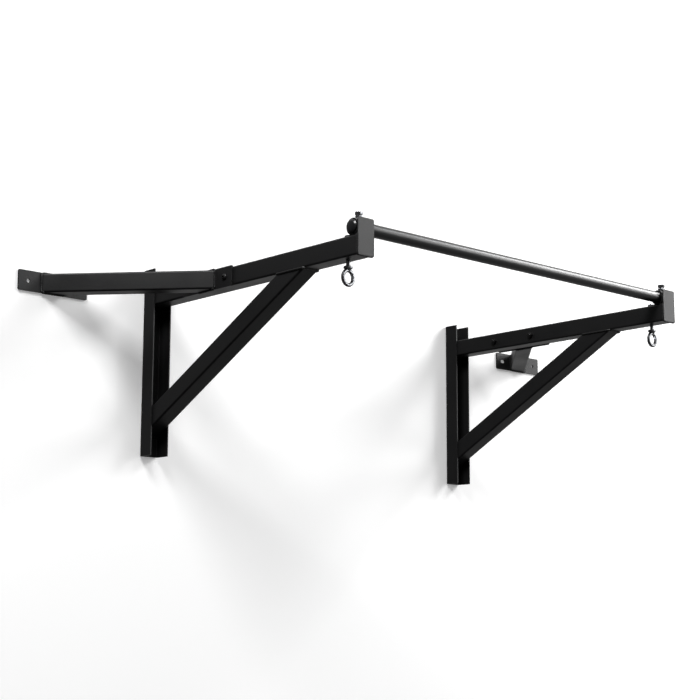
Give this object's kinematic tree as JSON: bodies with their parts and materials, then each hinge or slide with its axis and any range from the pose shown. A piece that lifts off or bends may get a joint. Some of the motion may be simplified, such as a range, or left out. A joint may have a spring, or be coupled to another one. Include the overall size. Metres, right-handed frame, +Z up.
{
  "type": "wall mounted pull up bar",
  "caption": "Wall mounted pull up bar: braced square tube brackets on wall channels carry a round bar in sleeves, with hanging eyes and angled side braces.",
  "frame": {"origin": "on the wall plane, midway between the two brackets and halfway up their wall channels", "axes": "+X along the wall towards the right bracket, +Y into the wall so the bar is at -Y, +Z up"},
  "size_m": [2.0296, 0.8604, 0.5204],
  "materials": {
    "black_powder_coat": "satin black powder coat",
    "black_bar_coat": "smoother semi-gloss black coat",
    "bright_zinc": "bright zinc plate",
    "black_oxide": "black oxide on steel",
    "black_plastic": "moulded black plastic"
  },
  "bodies": {
    "frame": {"left_wall_channel": "black_powder_coat", "left_arm": "black_powder_coat", "left_diagonal_brace": "black_powder_coat", "left_end_plate": "black_powder_coat", "left_bar_sleeve": "black_powder_coat", "left_side_tube": "black_powder_coat", "left_side_wall_plate": "black_powder_coat", "left_side_arm_plate": "black_powder_coat", "left_lock_nut": "bright_zinc", "left_side_bolt_1": "black_oxide", "left_side_bolt_2": "black_oxide", "left_side_nut_1": "black_oxide", "left_side_nut_2": "black_oxide", "right_wall_channel": "black_powder_coat", "right_arm": "black_powder_coat", "right_diagonal_brace": "black_powder_coat", "right_end_plate": "black_powder_coat", "right_bar_sleeve": "black_powder_coat", "right_side_tube": "black_powder_coat", "right_side_wall_plate": "black_powder_coat", "right_side_arm_plate": "black_powder_coat", "right_lock_nut": "bright_zinc", "right_side_bolt_1": "black_oxide", "right_side_bolt_2": "black_oxide", "right_side_nut_1": "black_oxide", "right_side_nut_2": "black_oxide"},
    "bar": {"pull_up_bar": "black_bar_coat", "left_bar_cap": "black_plastic", "right_bar_cap": "black_plastic"},
    "left_lock_bolt": {"left_lock_bolt": "bright_zinc"},
    "left_eye": {"left_eye_bolt": "bright_zinc", "left_eye_nut": "bright_zinc"},
    "right_lock_bolt": {"right_lock_bolt": "bright_zinc"},
    "right_eye": {"right_eye_bolt": "bright_zinc", "right_eye_nut": "bright_zinc"}
  },
  "joints": [
    {"name": "bar_turn", "type": "hinge", "parent": "frame", "child": "bar", "pos_m": [0, -0.8351, 0.2263], "axis": [1, 0, 0], "continuous": true},
    {"name": "left_lock_bolt_turn", "type": "hinge", "parent": "frame", "child": "left_lock_bolt", "pos_m": [-0.593, -0.8351, 0.255], "axis": [0, 0, 1], "continuous": true},
    {"name": "left_eye_swivel", "type": "hinge", "parent": "frame", "child": "left_eye", "pos_m": [-0.593, -0.7975, 0.155], "axis": [0, 0, 1], "continuous": true},
    {"name": "right_lock_bolt_turn", "type": "hinge", "parent": "frame", "child": "right_lock_bolt", "pos_m": [0.593, -0.8351, 0.255], "axis": [0, 0, 1], "continuous": true},
    {"name": "right_eye_swivel", "type": "hinge", "parent": "frame", "child": "right_eye", "pos_m": [0.593, -0.7975, 0.155], "axis": [0, 0, 1], "continuous": true}
  ]
}
